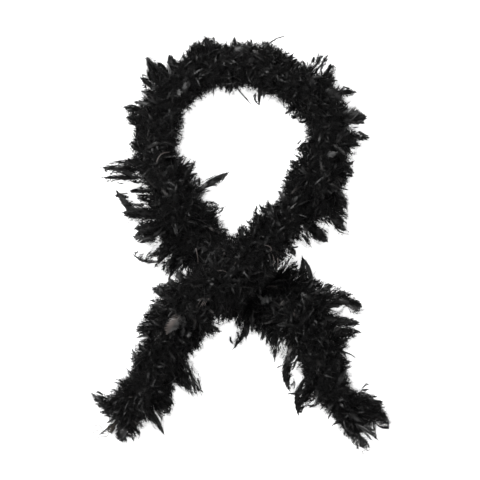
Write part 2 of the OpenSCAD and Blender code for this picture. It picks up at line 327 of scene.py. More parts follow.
def addRamp(tree, shader, value, stops):
    # base colour that follows a value
    ramp = tree.nodes.new("ShaderNodeValToRGB")
    for place, shade in stops[1:-1]:
        ramp.color_ramp.elements.new(place)
    for element, (place, shade) in zip(ramp.color_ramp.elements, stops):
        element.position = place
        element.color = (*shade, 1)
    tree.links.new(value, ramp.inputs["Fac"])
    tree.links.new(ramp.outputs["Color"], shader.inputs["Base Color"])


def featherMaterial(name):
    roughness, gloss, sheen, count = featherFinish[name]
    paint, tree, shader = newPaint(name, {"Specular IOR Level": gloss, "Sheen Weight": sheen,
                                          "Sheen Roughness": featherFinish["sheen roughness"]})
    barbs = tree.nodes.new("ShaderNodeGroup")
    barbs.node_tree = barbGroup
    barbs.inputs["Count"].default_value = count
    tone = tree.nodes.new("ShaderNodeAttribute")
    tone.attribute_name = "tone"
    lined = addMath(tree, "MULTIPLY_ADD", barbs.outputs["Lines"], featherFinish["lines"], tone.outputs["Fac"])
    darker = addMath(tree, "SUBTRACT", lined, featherFinish["darker"])
    varied = addMath(tree, "MULTIPLY_ADD", barbs.outputs["Patches"], featherFinish["patches"], darker)
    addRamp(tree, shader, varied, featherFinish["tones"])
    rough = featherFinish["rough patches"]
    spread = addMath(tree, "MULTIPLY_ADD", barbs.outputs["Patches"], rough, roughness - rough / 2)
    tree.links.new(spread, shader.inputs["Roughness"])
    tree.links.new(barbs.outputs["Normal"], shader.inputs["Normal"])
    return paint


downBlack = featherMaterial("downBlack")
featherBlack = featherMaterial("featherBlack")
plumeBlack = featherMaterial("plumeBlack")
threadFinish = {
    # dark and pale colour, and how close the bands of the twist lie
    "cordYarn": ((0.012, 0.011, 0.010), (0.045, 0.040, 0.035), 700),
    "bindingThread": ((0.020, 0.017, 0.014), (0.080, 0.068, 0.055), 1500),
    "specular": 0.2,
    "sheen": 0.2,
    "roughness": 0.85,
    "wavy bands": 1.5,
    "mottle scale": 900,
    "band share": 0.6,  # the rest is mottle
    "bump": 0.5,
    "bump depth": 0.0003,
}


def threadMaterial(name):
    # twisted yarn: fine slanted bands and a fuzzy mottle on Object coordinates
    dark, pale, pitch = threadFinish[name]
    paint, tree, shader = newPaint(name, {"Specular IOR Level": threadFinish["specular"],
                                          "Sheen Weight": threadFinish["sheen"],
                                          "Roughness": threadFinish["roughness"]})
    place = tree.nodes.new("ShaderNodeTexCoord")
    bands = setInputs(tree.nodes.new("ShaderNodeTexWave"),
                      {"Scale": pitch, "Distortion": threadFinish["wavy bands"]})
    bands.bands_direction = "DIAGONAL"
    tree.links.new(place.outputs["Object"], bands.inputs["Vector"])
    mottle = setInputs(tree.nodes.new("ShaderNodeTexNoise"), {"Scale": threadFinish["mottle scale"]})
    tree.links.new(place.outputs["Object"], mottle.inputs["Vector"])
    share = threadFinish["band share"]
    mottled = addMath(tree, "MULTIPLY", mottle.outputs["Fac"], 1 - share)
    both = addMath(tree, "MULTIPLY_ADD", bands.outputs["Fac"], share, mottled)
    addRamp(tree, shader, both, [(0, dark), (1, pale)])
    bump = setInputs(tree.nodes.new("ShaderNodeBump"),
                     {"Strength": threadFinish["bump"], "Distance": threadFinish["bump depth"]})
    tree.links.new(both, bump.inputs["Height"])
    tree.links.new(bump.outputs["Normal"], shader.inputs["Normal"])
    return paint


cordYarn = threadMaterial("cordYarn")
bindingThread = threadMaterial("bindingThread")
print("materials are made")

# one barb and one shaft, modelled once


def takeArrays(holder):
    # points, corner lists and removal of the working object
    mesh = holder.data
    points = np.array([v.co for v in mesh.vertices])
    faces = [tuple(p.vertices) for p in mesh.polygons]
    bpy.data.objects.remove(holder)
    return points, faces


def selectWhere(test):
    mesh = bpy.context.object.data
    bpy.ops.object.mode_set(mode="OBJECT")
    for vertex in mesh.vertices:
        vertex.select = test(vertex.co)
    bpy.ops.object.mode_set(mode="EDIT")


def modelBarb(pieces):
    # flat strip from x = 0 to a point at x = 1, one unit wide at its root
    bpy.ops.object.select_all(action="DESELECT")
    bpy.ops.mesh.primitive_grid_add(x_subdivisions=pieces, y_subdivisions=1, size=1, location=(0.5, 0, 0))
    bpy.ops.object.transform_apply(location=True, rotation=True, scale=True)
    bpy.ops.object.mode_set(mode="EDIT")
    bpy.ops.mesh.select_mode(type="VERT")
    bpy.ops.mesh.select_all(action="DESELECT")
    selectWhere(lambda co: co.x > 0.999)
    bpy.ops.mesh.merge(type="CENTER")
    bpy.ops.object.mode_set(mode="OBJECT")
    return takeArrays(bpy.context.object)


def modelShaft(sides, rings):
    # thin tapered quill along +Y from 0 to 1, closed at its tip
    bpy.ops.object.select_all(action="DESELECT")
    bpy.ops.mesh.primitive_cylinder_add(vertices=sides, radius=1, depth=1, end_fill_type="NGON",
                                        location=(0, 0.5, 0), rotation=(-math.pi / 2, 0, 0))
    bpy.ops.object.transform_apply(location=True, rotation=True, scale=True)
    bpy.ops.object.mode_set(mode="EDIT")
    bpy.ops.mesh.select_mode(type="VERT")
    for k in range(1, rings):
        bpy.ops.mesh.select_all(action="SELECT")
        bpy.ops.mesh.bisect(plane_co=(0, k / rings, 0), plane_no=(0, 1, 0))
    bpy.ops.mesh.select_all(action="DESELECT")
    selectWhere(lambda co: co.y > 0.999)
    bpy.ops.mesh.merge(type="CENTER")
    bpy.ops.object.mode_set(mode="OBJECT")
    return takeArrays(bpy.context.object)


barbShort = modelBarb(2)
barbLong = modelBarb(3)
quillFine = modelShaft(3, 2)
quillStrong = modelShaft(5, 8)
print("barb and quill are modelled")

featherShapes = {
    # barbs on each side, where they start, their slant, how ragged the edge is, how far each covers the next,
    # share near the root that is loose and downy, place of the widest part
    "leaf": (9, 0.10, 0.20, 0.16, 1.7, 0.25, 0.62),
    "ragged": (9, 0.06, 0.24, 0.42, 1.25, 0.40, 0.50),
    "spike": (8, 0.12, 0.30, 0.30, 1.5, 0.20, 0.42),
    "broad": (10, 0.12, 0.16, 0.08, 2.2, 0.20, 0.60),
    # long plumes
    "glossy": (30, 0.12, 0.17, 0.05, 2.2, 0.10, 0.66),
    "pointed": (26, 0.10, 0.20, 0.20, 1.8, 0.30, 0.55),
    "torn": (24, 0.06, 0.26, 0.62, 1.15, 0.50, 0.52),
    "hair": (14, 0.25, 0.35, 0.35, 1.6, 0.15, 0.45),
}
# half width of the quill, as a share of the vane's half width
quillShares = {"leaf": 0.05, "ragged": 0.05, "spike": 0.05, "strand": 0.12, "broad": 0.04,
               "glossy": 0.06, "pointed": 0.09, "torn": 0.07, "hair": 0.22}
vane = {
    "root width": 0.45,  # of the widest part
    "closes at": 1.04,
    "tip curve": (1.8, 0.8),
    "barbs end": 0.97,
    "uneven spacing": 0.3,
    "uneven slant": 0.35,
    "looks ahead": 0.1,  # a barb is as long as the vane is wide a little nearer the tip
    "shortest barb": 0.12,
    "loose edge": 0.1,  # over which the loose barbs turn into firm ones
    "loose": {"longer": 0.45, "thinner": 0.55, "less slant": 0.5, "lift": 0.45},
    "lift": 0.06,
    "cup": 0.10,
    "barb taper": 0.35,
    "quill taper": 0.8,
    "quill over vane": 0.04,
}


def vaneProfile(y, peak):
    # half width of the vane along the shaft: narrow at the root, full at the peak, pointed at the tip
    narrow = vane["root width"]
    steep, blunt = vane["tip curve"]
    rise = smooth(np.clip(y / peak, 0, 1)) * (1 - narrow) + narrow
    fall = (1 - np.clip((y - peak) / (vane["closes at"] - peak), 0, 1) ** steep) ** blunt
    return rise * fall


def makeShape(kind, barb, quill, quillWidth, seed):
    # x across in half widths, y along from root to tip, z off the vane
    rng = np.random.default_rng(seed)
    barbs, first, leaning, ragged, cover, downy, peak = featherShapes[kind]
    loosened, uneven, leans = vane["loose"], vane["uneven spacing"], vane["uneven slant"]
    points, faces = [], []
    count = 0
    barbPoints, barbFaces = barb
    spacing = (vane["barbs end"] - first) / barbs
    for side in (-1, 1):
        for k in range(barbs):
            y0 = first + spacing * (k + 0.5 + rng.uniform(-uneven, uneven))
            whole = vaneProfile(y0 + vane["looks ahead"], peak)
            reach = max(vane["shortest barb"], whole * (1 - ragged * rng.uniform(0, 1)))
            loose = smooth((downy - y0) / vane["loose edge"] + 0.5)
            reach *= 1 + loosened["longer"] * loose * rng.uniform(0.2, 1)
            slant = leaning * (1 + rng.uniform(-leans, leans))
            slant *= 1 - loosened["less slant"] * loose
            width = spacing * cover * (1 - loosened["thinner"] * loose)
            lift = rng.normal(0, vane["lift"] + loosened["lift"] * loose)
            u, q = barbPoints[:, 0], barbPoints[:, 1]
            x = side * reach * u
            y = y0 + slant * reach * u ** 1.25 + width * q * (1 - vane["barb taper"] * u)
            z = lift * u ** 1.6 + vane["cup"] * u ** 2
            points.append(np.stack([x, y, z], -1))
            order = barbFaces if side > 0 else [f[::-1] for f in barbFaces]
            faces += [tuple(i + count for i in f) for f in order]
            count += len(barbPoints)
    quillPoints, quillFaces = quill
    taper = 1 - vane["quill taper"] * quillPoints[:, 1]
    x = quillPoints[:, 0] * quillWidth * taper
    z = quillPoints[:, 2] * quillWidth * taper + vane["quill over vane"]
    points.append(np.stack([x, quillPoints[:, 1] * vane["barbs end"], z], -1))
    faces += [tuple(i + count for i in f) for f in quillFaces]
    return np.vstack(points), faces


tuft = {"barbs": 18, "fine": 0.045, "first barb": 0.04, "barbs along": 0.9, "turn": 2.4,
        "uneven turn": (-0.6, 0.6), "shorter at tip": 0.6, "length": (0.6, 1.1),
        "curl": (-0.5, 0.9), "lean": 0.45}
lock = {"barbs": 12, "fine": 0.17, "starts": (0, 0.35), "length": (0.45, 1), "aside": (-0.25, 0.25),
        "spread": 0.75, "curl": 0.5, "taper": 0.4, "uneven": 0.15}


def makeTuft(seed):
    # down: thin barbs all round a short shaft
    rng = np.random.default_rng(seed)
    points, faces = [], []
    barbPoints, barbFaces = barbShort
    barbs, fine = tuft["barbs"], tuft["fine"]
    u, q = barbPoints[:, 0], barbPoints[:, 1]
    for k in range(barbs):
        y0 = tuft["first barb"] + tuft["barbs along"] * (k + 0.5) / barbs
        turn = tuft["turn"] * k + rng.uniform(*tuft["uneven turn"])
        reach = (1 - tuft["shorter at tip"] * y0 ** 2) * rng.uniform(*tuft["length"])
        curl = rng.uniform(*tuft["curl"])
        out = reach * u
        y = y0 + tuft["lean"] * reach * u ** 1.4 + fine * q * (1 - 0.5 * u) * 0.6
        bend = turn + curl * u ** 2
        x = out * np.cos(bend) - fine * q * np.sin(turn)
        z = out * np.sin(bend) + fine * q * np.cos(turn)
        points.append(np.stack([x, y, z], -1))
        faces += [tuple(i + k * len(barbPoints) for i in f) for f in barbFaces]
    return np.vstack(points), faces


def makeLock(seed):
    # a lock of soft barbs that run beside each other and part at their tips
    rng = np.random.default_rng(seed)
    points, faces = [], []
    barbPoints, barbFaces = barbLong
    u, q = barbPoints[:, 0], barbPoints[:, 1]
    for k in range(lock["barbs"]):
        start = rng.uniform(*lock["starts"])
        reach = rng.uniform(*lock["length"]) * (1 - start)
        x0 = rng.uniform(*lock["aside"])
        spread = rng.normal(0, lock["spread"])
        curl = rng.normal(0, lock["curl"])
        x = x0 + spread * u ** 1.5 + lock["fine"] * q * (1 - lock["taper"] * u)
        z = curl * u ** 2 + rng.normal(0, lock["uneven"])
        points.append(np.stack([x, start + reach * u, z], -1))
        # seen from above, a barb turns its flat side up
        faces += [tuple(i + k * len(barbPoints) for i in f[::-1]) for f in barbFaces]
    return np.vstack(points), faces


def bodyShapes(kind, quillKind, seeds):
    return [makeShape(kind, barbShort, quillFine, quillShares[quillKind], seed) for seed in seeds]


def plumeVersions(kind):
    return [makeShape(kind, barbLong, quillStrong, quillShares[kind], seed) for seed in (31, 32, 33)]


massShapes = [bodyShapes(kind, kind, [seed])[0]
              for seed, kind in enumerate(["leaf", "ragged", "ragged", "spike", "leaf", "ragged"])]
strandShapes = bodyShapes("spike", "strand", (11, 12, 13))
broadShapes = bodyShapes("broad", "broad", (14, 15, 16))
tuftShapes = [makeTuft(seed) for seed in (21, 22, 23)]
lockShapes = [makeLock(seed) for seed in (41, 42, 43, 44)]
plumeModels = {kind: plumeVersions(kind) for kind in ("glossy", "pointed", "torn", "hair")}
print("feather shapes:", len(massShapes), "tufts:", len(tuftShapes), "plumes:", 3 * len(plumeModels))


# bending copies of a shape along curves


def bendCopies(shape, root, control, tip, side, width, roll, twist, cup):
    # each copy follows its own curve from root over control to tip; side is its width direction
    y = np.clip(shape[:, 1], 0, 1.12)[None, :, None]
    a, b, c = root[:, None], control[:, None], tip[:, None]
    spine = (1 - y) ** 2 * a + 2 * y * (1 - y) * b + y ** 2 * c
    along = unit((1 - y) * (b - a) + y * (c - b))
    across = side[:, None] - along * np.sum(along * side[:, None], -1, keepdims=True)
    across = unit(across)
    out = np.cross(across, along)
    turn = (roll[:, None] + twist[:, None] * shape[None, :, 1])[..., None]
    acrossTurned = across * np.cos(turn) + out * np.sin(turn)
    outTurned = out * np.cos(turn) - across * np.sin(turn)
    x = (shape[:, 0][None, :] * width[:, None])[..., None]
    z = ((shape[:, 2][None, :] + cup[:, None] * shape[:, 0][None, :] ** 2) * width[:, None])[..., None]
    return spine + acrossTurned * x + outTurned * z


# lowest point, how far deeper ones are gathered there, the top, and how soft the top's edge is, m
limits = {"floor": 0.0006, "gather": 0.02, "deepest": 0.05, "top": 0.098, "edge": 0.01, "laid over": 0.3}


def settle(points, s=None):
    # nothing reaches into the floor, and feathers that stand too high over the down are laid over
    floor, edge = limits["floor"], limits["edge"]
    z = points[..., 2]
    z = np.where(z < floor, floor + limits["gather"] * np.minimum(floor - z, limits["deepest"]), z)
    if s is None:
        top = np.full(z.shape, limits["top"])
    else:
        top = (baseHeight(s) + downHeight(s) + mass["highest over the down"])[:, None]
    points[..., 2] = np.where(z > top - edge, top - edge + limits["laid over"] * (z - top + edge), z)
    return points


def buildPiece(name, parts, materials):
    # parts: (points of the copies, faces of the shape, shape, tone of each copy or point, material number)
    allPoints, allLoops, allSizes, allUv, allTone, allMaterial = [], [], [], [], [], []
    offset = 0
    for points, faces, shape, tone, slot in parts:
        copies, n = points.shape[:2]
        sizes = np.array([len(f) for f in faces])
        loops = np.array([i for f in faces for i in f])
        shift = offset + n * np.arange(copies)[:, None]
        allPoints.append(points.reshape(-1, 3))
        allLoops.append((loops[None] + shift).ravel())
        allSizes.append(np.tile(sizes, copies))
        uv = np.stack([0.5 + 0.5 * shape[:, 0], shape[:, 1]], -1)
        allUv.append(np.tile(uv[loops], (copies, 1)))
        allTone.append(np.broadcast_to(tone.reshape(copies, -1), (copies, n)).ravel())
        allMaterial.append(np.full(copies * len(faces), slot))
        offset += copies * n
    points = np.vstack(allPoints)
    loops, sizes = np.concatenate(allLoops), np.concatenate(allSizes)
    mesh = bpy.data.meshes.new(name)
    mesh.vertices.add(len(points))
    mesh.vertices.foreach_set("co", points.astype(np.float32).ravel())
    mesh.loops.add(len(loops))
    mesh.loops.foreach_set("vertex_index", loops.astype(np.int32))
    mesh.polygons.add(len(sizes))
    mesh.polygons.foreach_set("loop_start", (np.cumsum(sizes) - sizes).astype(np.int32))
    mesh.polygons.foreach_set("material_index", np.concatenate(allMaterial).astype(np.int32))
    mesh.polygons.foreach_set("use_smooth", np.ones(len(sizes), bool))
    mesh.update(calc_edges=True)
    mesh.uv_layers.new(name="vane").data.foreach_set("uv", np.vstack(allUv).astype(np.float32).ravel())
    tones = mesh.attributes.new("tone", "FLOAT", "POINT")
    tones.data.foreach_set("value", np.concatenate(allTone).astype(np.float32))
    for material in materials:
        mesh.materials.append(material)
    holder = bpy.data.objects.new(name, mesh)
    bpy.context.scene.collection.objects.link(holder)
    triangles = int((sizes - 2).sum())
    print(f"{name}: {triangles} triangles")
    return holder


def ringFaces(rings, sides):
    # faces between neighbouring rings of points, and a cap on each end
    faces = []
    for j in range(rings - 1):
        here, there = j * sides, (j + 1) * sides
        faces += [(here + k, here + (k + 1) % sides, there + (k + 1) % sides, there + k)
                  for k in range(sides)]
    return faces + [tuple(range(sides))[::-1], tuple((rings - 1) * sides + k for k in range(sides))]


def sweptTube(line, radius, sides):
    # rings square to the line, with closed ends
    ahead = unit(np.gradient(line, axis=0))
    flat = unit(np.stack([-ahead[:, 1], ahead[:, 0], 0 * ahead[:, 0]], -1))
    over = np.cross(ahead, flat)
    angle = np.arange(sides) * 2 * math.pi / sides
    radius = np.broadcast_to(radius, (len(line),))[:, None, None]
    cosine, sine = np.cos(angle)[None, :, None], np.sin(angle)[None, :, None]
    rings = line[:, None] + radius * (flat[:, None] * cosine + over[:, None] * sine)
    n = len(line)
    around, along = np.tile(angle / math.pi - 1, n), np.repeat(np.arange(n) / n, sides)
    shape = np.stack([around, along, np.zeros(n * sides)], -1)
    return rings.reshape(1, -1, 3), ringFaces(n, sides), shape


# the feathers that make up the body of the boa

mass = {
    # feathers of each kind to a metre of boa
    "feathers": 2300,
    "strands": 1100,
    "broad": 130,
    "locks": 4600,
    "tufts": 4900,
    "feather size": ((0.0028, 0.0055), 0.026),  # half widths, and how far it lies along the surface
    "strand size": ((0.0014, 0.0028), 0.024),
    "lock size": ((0.0030, 0.0055), 0.024),
    "broad size": ((0.0055, 0.0085), 0.030),
    "tuft length": (0.013, 0.026),
    "lump": 0.11,  # how uneven the surface is
    "stray": 0.55,  # how far a feather turns from its neighbours, radians
    "below": 0.35,  # how far round below the feathers and the tufts go
    "tufts below": 0.45,
    "small at the ends": 0.6,
    "highest over the down": 0.010,
}


# the dark inner down: its share of the section, how bumpy it is and how much smaller at its ends
inner = {"share": 0.60, "bumps": 0.06, "ends": 0.9, "lowest": 0.001, "tone": 0.05, "rings": 14, "sides": 28}
# waves over the surface: height, radians to a metre, turns round the section, start
surfaceWaves = {
    "lumps": [(0.6, 105, 3, 0), (0.4, 171, -2, 1), (0.3, 290, 5, 0)],
    "swirls": [(1, 84, 1.5, 1), (0.6, 131, -2, 2.3)],
    "pale patches": [(0.08, 60, 2, 0), (0.06, 23, 0, 0)],
}
toneChoice = {"spread": (1.3, 3.4), "brightest": 0.8, "washed-out share": 0.04, "washed out": (0.6, 0.9),
              "limit": 0.95}


def surfaceWave(kind, s, angle):
    return sum(high * np.sin(along * s + about * angle + start)
               for high, along, about, start in surfaceWaves[kind])


def sectionPoint(s, angle, share):
    # a point of the down's rounded section: flat below where it lies, round above
    across, up, _ = sectionAxes(s)
    v = halfWidth(s, angle) * np.cos(angle) * share
    below = boa["cord share"]
    rise = downHeight(s) * np.where(np.sin(angle) > 0, 1 - below, below) * np.sin(angle) * share
    return coreLine(s) + across * v[..., None] + up * rise[..., None]


def lumps(s, angle):
    return 1 + mass["lump"] * surfaceWave("lumps", s, angle)


def locks(s, angle, rng):
    # direction in which the feathers lie: neighbours lie alike, and the locks swirl along the boa
    return math.pi * surfaceWave("swirls", s, angle) + rng.normal(0, mass["stray"], len(s))


def hangAngle(rng, s, below):
    # place round the section; the strand that is carried over the other has feathers below it too
    below = below + (math.pi / 2 - below) * near(s, boa["crossings"][0])
    return rng.uniform(-below, math.pi + below)


def chooseTone(rng, s, angle):
    # mostly black, with patches that are a little paler and single washed-out feathers
    n = len(s)
    tone = rng.beta(*toneChoice["spread"], n) * toneChoice["brightest"]
    tone = tone + surfaceWave("pale patches", s, angle)
    pale = rng.random(n) < toneChoice["washed-out share"]
    return np.clip(np.where(pale, rng.uniform(*toneChoice["washed out"], n), tone), 0, toneChoice["limit"])


featherLie = {
    "depth": (0.70, 1.0),  # where a feather bends, as a share of the way from the cord to the surface
    "root": 0.12,
    "lift": (-0.3, 0.4),
    "lift at the sides": 0.3,
    "round the boa": 0.8,  # how much less a feather lies round the boa than along it
    "reach": (0.5, 1.35),
    "droop": 0.004,
    "raise": 0.006,
    "bow": 0.35,
    "roll": 0.5,
    "cup": (-0.1, 0.5),
}
tuftLie = {"depth": (0.62, 1.04), "outward": 0.8, "stray": 0.55, "above": 0.75, "bow": 0.004,
           "width": (0.40, 0.62), "twist": 1.0, "darker": 0.8}


def massFeathers(rng, shape, n, s0, s1, size, slot):
    s = rng.uniform(s0, s1, n)
    across, up, along = sectionAxes(s)
    angle = hangAngle(rng, s, mass["below"])
    small = mass["small at the ends"] + (1 - mass["small at the ends"]) * fade(s)
    surface = sectionPoint(s, angle, rng.uniform(*featherLie["depth"], n) * lumps(s, angle))
    core = coreLine(s)
    root = core + (surface - core) * featherLie["root"]
    radial = unit(surface - core)
    turn = locks(s, angle, rng)[:, None]
    toSide = np.abs(np.cos(angle)) ** 2
    lift = rng.uniform(*featherLie["lift"], n) + featherLie["lift at the sides"] * toSide
    sideways = np.cross(along, radial) * np.sin(turn) * featherLie["round the boa"]
    lay = unit(along * np.cos(turn) + sideways + radial * lift[:, None])
    reach = size[1] * rng.uniform(*featherLie["reach"], n) * small
    tip = surface + lay * reach[:, None] - up * (featherLie["droop"] * rng.uniform(0, 1, n))[:, None]
    side = unit(np.cross(radial, lay))
    raised = radial * (featherLie["raise"] * rng.uniform(-0.3, 1, n))[:, None]
    control = surface + raised + side * (reach * rng.normal(0, featherLie["bow"], n))[:, None]
    width = rng.uniform(*size[0], n) * small
    roll = featherLie["roll"]
    points = bendCopies(shape[0], root, control, tip, side, width, rng.normal(0, roll, n),
                        rng.normal(0, roll, n), rng.uniform(*featherLie["cup"], n))
    return settle(points, s), shape[1], shape[0], chooseTone(rng, s, angle), slot


def massTufts(rng, shape, n, s0, s1):
    s = rng.uniform(s0, s1, n)
    angle = hangAngle(rng, s, mass["tufts below"])
    small = mass["small at the ends"] + (1 - mass["small at the ends"]) * fade(s)
    surface = sectionPoint(s, angle, rng.uniform(*tuftLie["depth"], n) * lumps(s, angle))
    radial = unit(surface - coreLine(s))
    aim = unit(radial * tuftLie["outward"] + rng.normal(0, tuftLie["stray"], (n, 3)))
    length = rng.uniform(*mass["tuft length"], n) * small
    tip = surface + aim * length[:, None] * tuftLie["above"]
    root = surface - aim * length[:, None] * (1 - tuftLie["above"])
    control = (root + tip) / 2 + rng.normal(0, tuftLie["bow"], (n, 3))
    side = unit(np.cross(aim, rng.normal(0, 1, (n, 3))))
    width = length * rng.uniform(*tuftLie["width"], n)
    zero = np.zeros(n)
    twist = rng.normal(0, tuftLie["twist"], n)
    points = bendCopies(shape[0], root, control, tip, side, width, zero, twist, zero)
    return settle(points, s), shape[1], shape[0], chooseTone(rng, s, angle) * tuftLie["darker"], 0


def innerDown(rng, s0, s1):
    # closed, bumpy tube of matted down, inside the feathers
    rings, sides = inner["rings"], inner["sides"]
    s = np.linspace(s0, s1, rings)[:, None]
    angle = np.linspace(0, 2 * math.pi, sides, endpoint=False)[None]
    share = inner["share"] * (1 + rng.normal(0, inner["bumps"], (rings, sides)))
    share[[0, -1]] *= inner["ends"]
    s, angle = np.broadcast_to(s, share.shape), np.broadcast_to(angle, share.shape)
    points = sectionPoint(s, angle, share).reshape(-1, 3)
    points[:, 2] = np.maximum(points[:, 2], inner["lowest"])
    shape = np.stack([angle.ravel() / math.pi - 1, s.ravel() * 5, 0 * s.ravel()], -1)
    return points[None], ringFaces(rings, sides), shape, np.array([inner["tone"]]), 0


def makeMass(number, name, s0, s1):
    rng = np.random.default_rng(100 + number)
    length = s1 - s0
    parts = [innerDown(rng, s0, s1)]
    kinds = [("feathers", massShapes, "feather size", 1), ("strands", strandShapes, "strand size", 1),
             ("broad", broadShapes, "broad size", 2), ("locks", lockShapes, "lock size", 0)]
    for kind, shapes, size, slot in kinds:
        for shape in shapes:
            count = int(length * mass[kind] / len(shapes))
            parts.append(massFeathers(rng, shape, count, s0, s1, mass[size], slot))
    for shape in tuftShapes:
        parts.append(massTufts(rng, shape, int(length * mass["tufts"] / len(tuftShapes)), s0, s1))
    return buildPiece(name, parts, [downBlack, featherBlack, plumeBlack])


def makeMasses():
    links = boa["links"]
    last = len(links)
    for k in range(last + 1):
        s0 = boa["bare"] if k == 0 else mids[k - 1]
        s1 = totalLength - boa["bare"] if k == last else mids[k]
        if k == 0:
            piece = makeMass(k, "feathers_left_tip", s0, s1)
            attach(piece, links[0])
        elif k == last:
            piece = makeMass(k, "feathers_right_tip", s0, s1)
            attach(piece, links[-1])
        else:
            piece = makeMass(k, f"feathers_{links[k - 1]}_to_{links[k]}", s0, s1)
            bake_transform(piece)
        if k < last:
            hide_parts("down_" + links[k])


makeMasses()
print("the body of feathers is made")

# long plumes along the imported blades

plumeLook = {
    "hair below": 0.0052,  # full width under which a blade becomes a hair-thin plume
    "torn from": 0.0085,
    "glossy from": 0.0145,
    "wider": 1.25,  # barbs reach a little past the blade's own edge
    "hair wider": 1.7,
    "stands out": 0.050,  # m from the cord
    "glossy share": 0.3,
    "roll": 0.35,
    "twist": 0.45,
    "cup": (0.1, 0.6),
    "tones": (0.0, 0.35),
    "same tip": 0.003,  # m within which a listed place means a packed plume's tip
    "drawn up": 8,  # mm that the middle of an added plume is raised
}
# places of plume tips that are smooth and glossy, m
glossyTips = [
    (0.220, -0.112), (-0.190, 0.030), (0.228, 0.228), (0.160, 0.006), (-0.016, 0.134), (-0.222, 0.102),
    (-0.126, 0.344), (-0.210, -0.354), (0.212, 0.276), (-0.134, -0.342), (-0.158, -0.074),
    (0.112, -0.018), (0.194, -0.244), (0.092, -0.266), (-0.190, -0.154), (0.106, -0.308),
]

# places of plume tips that are straight and whole, m
pointedTips = [
    (-0.252, 0.140), (-0.250, 0.122), (0.240, 0.194), (-0.228, 0.152),
]


def splitBlades(node):
    # the node's mesh as separate blades: root, control point, tip and full width of each
    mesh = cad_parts[node].data
    points = np.array([v.co for v in mesh.vertices])
    keys = {}
    same = [keys.setdefault(tuple(np.round(p, 6)), len(keys)) for p in points]
    merged = np.array(list(keys))
    neighbours = [set() for _ in merged]
    for face in mesh.polygons:
        corners = [same[i] for i in face.vertices]
        for a in corners:
            neighbours[a].update(b for b in corners if b != a)
    seen, blades = set(), []
    for first in range(len(merged)):
        if first in seen:
            continue
        group, queue = {first}, [first]
        while queue:
            fresh = neighbours[queue.pop()] - group
            group |= fresh
            queue += fresh
        seen |= group
        endPoints = [i for i in group if len(neighbours[i]) == 4]
        if len(endPoints) == 2:
            blades.append(readBlade(merged, neighbours, endPoints))
    return blades


def readBlade(points, neighbours, two):
    far = [np.min(np.linalg.norm(coreSamples - points[i], axis=1)) for i in two]
    root = two[int(np.argmin(far) != 0)]
    tip = two[int(np.argmin(far) == 0)]
    levels, seen = [[root]], {root}
    while levels[-1]:
        fresh = set().union(*(neighbours[i] for i in levels[-1])) - seen
        seen |= fresh
        levels.append(list(fresh))
    middle = points[levels[2]].mean(0)
    wide = points[levels[3]]
    width = max(np.linalg.norm(a - b) for a in wide for b in wide)
    a, c = points[root], points[tip]
    return a, 2 * middle - (a + c) / 2, c, width


coreSamples = coreLine(np.linspace(0, totalLength, 400))


def chooseKind(rng, tip, width):
    for tips, kind in ((glossyTips, "glossy"), (pointedTips, "pointed")):
        if any(math.hypot(tip[0] - x, tip[1] - y) < plumeLook["same tip"] for x, y in tips):
            return kind
    if width < plumeLook["hair below"]:
        return "hair"
    if width < plumeLook["torn from"]:
        return "pointed"
    if width > plumeLook["glossy from"] and rng.random() < plumeLook["glossy share"]:
        return "glossy"
    return "torn"


def plumeCompany(root, tip):
    # only a plume that stands out of the down has others beside it
    return np.min(np.linalg.norm(coreSamples[:, :2] - tip[:2], axis=1)) > plumeLook["stands out"]


# how many stand beside every plume, how many more with its width, m, and their material
companyKinds = [(3, 500, massShapes, 1), (4, 900, lockShapes, 2), (3, 700, tuftShapes, 2)]


company = {
    "starts": 0.45,  # the stretch of the plume that they stick to
    "ends": 0.96,
    "ends on thin plumes": 0.5,
    "share on thin plumes": 0.4,
    "aside": (0.003, 0.6),  # m, and share of the plume's half width
    "over": 0.004,
    "swing": 0.30,
    "length": (0.014, 0.034),
    "bow": 0.22,
    "tuft width": 0.45,
    "half width": (0.0022, 0.0048),
    "roll": 0.7,
    "twist": 0.8,
    "cup": (0, 0.5),
    "tones": (1.3, 4),
    "brightest": 0.7,
}


def companions(rng, root, control, tip, width):
    # shorter feathers, locks and down that stick to a long plume and spread from it
    thin = width * 2 < plumeLook["hair below"] * plumeLook["wider"]
    far = company["ends on thin plumes" if thin else "ends"]
    nearby, spread = company["aside"]
    flat = unit((tip - root) * np.array([1, 1, 0]))
    across = np.array([-flat[1], flat[0], 0])
    kinds = [(few + width * more, shapes, slot) for few, more, shapes, slot in companyKinds]
    made = []
    for count, shapes, slot in kinds:
        for shape in shapes:
            n = int(rng.poisson((company["share on thin plumes"] if thin else 1) * count / len(shapes)))
            if n == 0:
                continue
            end = rng.uniform(company["starts"], far, n)[:, None]
            point = (1 - end) ** 2 * root + 2 * end * (1 - end) * control + end ** 2 * tip
            aside = rng.normal(0, 1, n)[:, None] * (nearby + width * spread) * across * (1.2 - end) * 1.8
            over = np.array([0, 0, 1]) * rng.normal(0, company["over"], n)[:, None]
            swing = rng.normal(0, company["swing"], n)[:, None]
            aim = unit(unit(point - root) + across * swing)
            length = rng.uniform(*company["length"], n)[:, None]
            a = point + aside * 0.6 - aim * length * 0.7
            c = point + aside + aim * length * 0.3 * (1 - 0.6 * end) + over
            b = (a + c) / 2 + across * length * rng.normal(0, company["bow"], n)[:, None] + over
            if shapes is tuftShapes:
                half = length[:, 0] * company["tuft width"]
            else:
                half = rng.uniform(*company["half width"], n)
            points = bendCopies(shape[0], a, b, c, np.tile(across, (n, 1)), half,
                                rng.normal(0, company["roll"], n), rng.normal(0, company["twist"], n),
                                rng.uniform(*company["cup"], n))
            tone = rng.beta(*company["tones"], n) * company["brightest"]
            made.append((settle(points), shape[1], shape[0], tone, slot))
    return made


